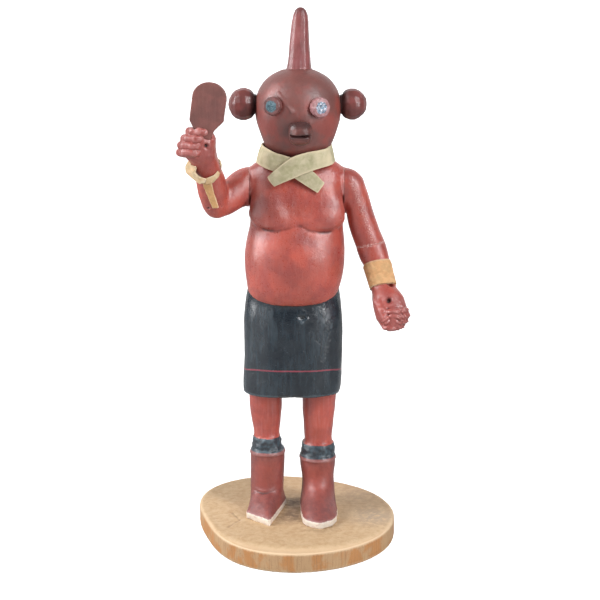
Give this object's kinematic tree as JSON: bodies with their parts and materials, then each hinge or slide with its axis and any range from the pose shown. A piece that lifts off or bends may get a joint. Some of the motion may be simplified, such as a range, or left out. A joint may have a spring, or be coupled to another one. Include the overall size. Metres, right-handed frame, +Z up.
{
  "type": "kachina doll",
  "caption": "Carved and painted wooden kachina doll with ball ears, rod eyes and a horn, one arm raised with a paddle, standing on a slab of wood.",
  "frame": {"origin": "middle of the slab's underside", "axes": "+Z up, the doll looks along -Y, and +X is on the viewer's right, which is the doll's left"},
  "size_m": [0.1272, 0.1239, 0.3],
  "materials": {
    "bare_wood": "sawn softwood, worn and dirty",
    "red_paint": "brick red paint, satin, rubbed and crackled",
    "maroon_paint": "brownish maroon paint, satin, dusty",
    "eye_paint": "speckled blue, grey and white paint, matt",
    "suede": "pale olive suede, matt",
    "yellow_leather": "yellow ochre leather, matt"
  },
  "bodies": {
    "root": {"base_slab": "bare_wood", "figure_body": "red_paint", "right_arm": "red_paint", "left_upper_arm": "red_paint", "left_forearm": "red_paint", "paddle": "maroon_paint", "horn": "maroon_paint", "right_ear_knob": "maroon_paint", "left_ear_knob": "maroon_paint", "right_eye": "eye_paint", "left_eye": "eye_paint", "snout": "maroon_paint", "neck_sash": "suede", "left_wrist_band": "yellow_leather", "right_wrist_thong": "yellow_leather"}
  },
  "joints": []
}
